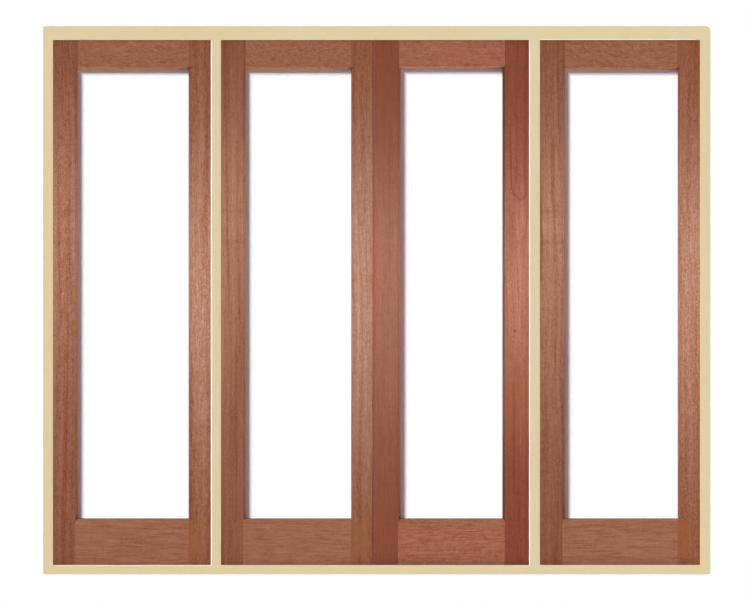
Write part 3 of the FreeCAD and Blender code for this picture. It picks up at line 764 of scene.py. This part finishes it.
def bradRow(finish):
    sheet, given = newRow("bradRow", ("Seed",), ("Spacing", "Radius", "Thickness", "Jitter"))
    points = rowPoints(sheet, given, "LENGTH", Length=sheet.out(given, "Spacing"))
    stray = sheet.add("FunctionNodeRandomValue", {"data_type": "FLOAT_VECTOR"}, in0=(-1, 0, -1),
                      in1=(1, 0, 1), Seed=sheet.out(given, "Seed"))
    stray = sheet.shade(sheet.out(stray), sheet.out(given, "Jitter"))
    points = sheet.out(sheet.add("GeometryNodeSetPosition", Geometry=points, Offset=stray))
    made = sheet.add("GeometryNodeInstanceOnPoints", Points=points,
                     Instance=roundHead(sheet, given, 10), Rotation=(math.pi / 2, 0.0, 0.0))
    return closeRow(sheet, made, finish)


def makeRow(name, edges, tree, values, body):
    mesh = bpy.data.meshes.new(name + "Lines")
    points = [end for edge in edges for end in edge]
    mesh.from_pydata(points, [(i, i + 1) for i in range(0, len(points), 2)], [])
    guide = bpy.data.objects.new(name + "Guide", mesh)
    bpy.context.scene.collection.objects.link(guide)
    modifier = guide.modifiers.new("Row", "NODES")
    modifier.node_group = tree
    for item in tree.interface.items_tree:
        if item.item_type == "SOCKET" and item.in_out == "INPUT" and item.name in values:
            modifier[item.identifier] = values[item.name]
    bpy.context.view_layer.update()
    shown = guide.evaluated_get(bpy.context.evaluated_depsgraph_get())
    plain = bpy.data.meshes.new_from_object(shown)
    guide.modifiers.clear()
    bpy.data.objects.remove(guide)
    piece = bpy.data.objects.new(name, plain)
    bpy.context.scene.collection.objects.link(piece)
    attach(piece, body)
    print(name, len(plain.polygons), "faces")


screws = {"radius": 0.0042, "thickness": 0.0009, "perPlate": 3, "rowLength": 0.070,
          "stagger": 0.005, "slotLength": 0.0046, "slotWidth": 0.0011,
          "plateHeights": (0.2355, 1.0445, 1.8535), "plateMiddle": 0.0165,
          "hingeGap": 0.005}    # between the two plates of a hinge
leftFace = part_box("left_leaf_left_stile")[0].x
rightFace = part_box("right_leaf_right_stile")[1].x


def plateLines(x):
    half = screws["rowLength"] / 2
    y = screws["plateMiddle"]
    return [((x, y, z - half), (x, y, z + half)) for z in screws["plateHeights"]]


screwTree = screwRow(metals["screwSteel"])
screwValues = {"Count": screws["perPlate"], "Radius": screws["radius"],
               "Thickness": screws["thickness"], "Stagger": screws["stagger"],
               "Slot Length": screws["slotLength"], "Slot Width": screws["slotWidth"]}
makeRow("left_leaf_screws", plateLines(leftFace), screwTree, screwValues,
        "left_leaf")
makeRow("right_leaf_screws", plateLines(rightFace), screwTree, screwValues,
        "right_leaf")
makeRow("frame_screws",
        plateLines(leftFace - screws["hingeGap"]) + plateLines(rightFace + screws["hingeGap"]),
        screwTree, screwValues, "frame")

brads = {"radius": 0.0012, "thickness": 0.0006, "spacing": 0.19, "fromCorner": 0.05,
         "fromPane": 0.0075, "sunk": 0.0001, "jitter": 0.0018, "seed": 7}


def beadLines(panel):
    # one line along each bead, on its back
    x0, x1, z0, z1 = paneEdges[panel]
    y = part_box(panel + "_upright_beads")[1].y - brads["sunk"]
    out, keep = brads["fromPane"], brads["fromCorner"]
    return [((x0 - out, y, z0 + keep), (x0 - out, y, z1 - keep)),
            ((x1 + out, y, z0 + keep), (x1 + out, y, z1 - keep)),
            ((x0 + keep, y, z0 - out), (x1 - keep, y, z0 - out)),
            ((x0 + keep, y, z1 + out), (x1 - keep, y, z1 + out))]


bradTree = bradRow(metals["bradSteel"])
bradValues = {"Spacing": brads["spacing"], "Radius": brads["radius"],
              "Thickness": brads["thickness"], "Jitter": brads["jitter"], "Seed": brads["seed"]}
makeRow("sidelight_brads", beadLines("left_sidelight") + beadLines("right_sidelight"), bradTree,
        bradValues, "frame")
makeRow("left_leaf_brads", beadLines("left_leaf"), bradTree, bradValues,
        "left_leaf")
makeRow("right_leaf_brads", beadLines("right_leaf"), bradTree, bradValues,
        "right_leaf")

scene = bpy.context.scene

# suns from the upper left, level with white paper on the front faces: a steep one on the panes
# and the panels' wood, for the shade beside the mouldings, and a flatter one on the frame and
# the floor; a low one from the right fills the mouldings, and one lights the back
light = {
    "suns": {
        "paneSun": {"way": (1.5, 1.0, -1.5), "share": 0.75, "spread": 13.0, "on": "panes"},
        "woodSun": {"way": (1.5, 1.0, -1.5), "share": 0.57, "spread": 13.0, "on": "wood"},
        "woodFill": {"way": (-1.0, 0.25, 1.0), "share": 0.18, "spread": 20.0, "on": "wood"},
        "frameSun": {"way": (0.5, 1.0, -0.5), "share": 0.75, "spread": 13.0, "on": "frame"},
        "backSun": {"way": (-0.75, -1.0, -0.35), "share": 0.74, "spread": 24.0, "on": "all"},
    },
    "sunDistance": 4.0,
    "skyShare": 0.24,
    "floorHalf": 14.0,
    "floorPaint": 0.85,
    "floorBounce": 0.31,
    "floorGlow": 0.30,
}


def whiteOnSight(sheet):
    # 1 where the camera, a reflection or a view through glass looks, 0 for the light it throws
    ray = sheet.add("ShaderNodeLightPath")
    seen = sheet.maths("MAXIMUM", sheet.out(ray, "Is Camera Ray"), sheet.out(ray, "Is Glossy Ray"))
    return sheet.maths("MAXIMUM", seen, sheet.out(ray, "Is Transmission Ray"))


def makeFloor():
    half = light["floorHalf"]
    mesh = bpy.data.meshes.new("floor")
    mesh.from_pydata([(-half, -half, 0), (half, -half, 0), (half, half, 0), (-half, half, 0)], [],
                     [(0, 1, 2, 3)])
    floor = bpy.data.objects.new("floor", mesh)
    scene.collection.objects.link(floor)
    finish, sheet = newFinish("floorPaint")
    seen = whiteOnSight(sheet)
    paint, bounce = light["floorPaint"], light["floorBounce"]
    colour = sheet.blend(seen, (bounce, bounce, bounce, 1), (paint, paint, paint, 1))
    matt = sheet.out(sheet.add("ShaderNodeBsdfDiffuse", Color=colour))
    highlightHeight = sheet.out(sheet.add("ShaderNodeEmission", Color=(1, 1, 1, 1),
                               Strength=seen * light["floorGlow"]))
    sheet.surface(sheet.out(sheet.add("ShaderNodeAddShader", in0=matt, in1=highlightHeight)))
    mesh.materials.append(finish)


def makeSun(name, plan):
    way = Vector(plan["way"]).normalized()
    lamp = bpy.data.lights.new(name, "SUN")
    lamp.angle = math.radians(plan["spread"])
    lamp.energy = plan["share"] * math.pi / abs(way.y)    # share of a front face's brightness
    sun = bpy.data.objects.new(name, lamp)
    sun.rotation_euler = way.to_track_quat("-Z", "Y").to_euler()
    sun.location = -way * light["sunDistance"]
    scene.collection.objects.link(sun)
    return sun


makeFloor()
# the shade on the panes falls from the panels alone, so that the frame's stops draw no band
shaders = bpy.data.collections.new("castsPaneShade")
for name in list(stileKinds) + list(railKinds):
    shaders.objects.link(nodes[name])
groups = {name: bpy.data.collections.new(name + "InTheSun") for name in ("panes", "wood", "frame")}
for piece in scene.objects:
    if piece.type == "MESH":
        group = "frame"
        if piece.name.endswith("_glass") or piece.name == "meeting_seal":
            group = "panes"
        elif piece.name.startswith(panels) and piece.name.endswith(("_stile", "_rail", "_beads")):
            group = "wood"
        groups[group].objects.link(piece)
for name, plan in light["suns"].items():
    sun = makeSun(name, plan)
    if plan["on"] != "all":
        sun.light_linking.receiver_collection = groups[plan["on"]]
    if plan["on"] in ("panes", "wood"):
        sun.light_linking.blocker_collection = shaders

world = bpy.data.worlds.new("studio")
world.use_nodes = True
scene.world = world
sheet = Sheet(world.node_tree)
seen = whiteOnSight(sheet)
sky = sheet.add("ShaderNodeBackground", Color=(1, 1, 1, 1),
                Strength=seen + (1.0 - seen) * light["skyShare"])
sheet.add("ShaderNodeOutputWorld", in0=sheet.out(sky))

view = {"width": 2.83, "middle": (-0.0066, 1.0278), "distance": 5.0}
cameraData = bpy.data.cameras.new("camera")
cameraData.type = "ORTHO"
cameraData.ortho_scale = view["width"]
camera = bpy.data.objects.new("camera", cameraData)
camera.location = (view["middle"][0], -view["distance"], view["middle"][1])
camera.rotation_euler = Euler((math.pi / 2, 0, 0))
scene.collection.objects.link(camera)
scene.camera = camera
scene.view_settings.view_transform = "Standard"
print("floor, light and camera done")
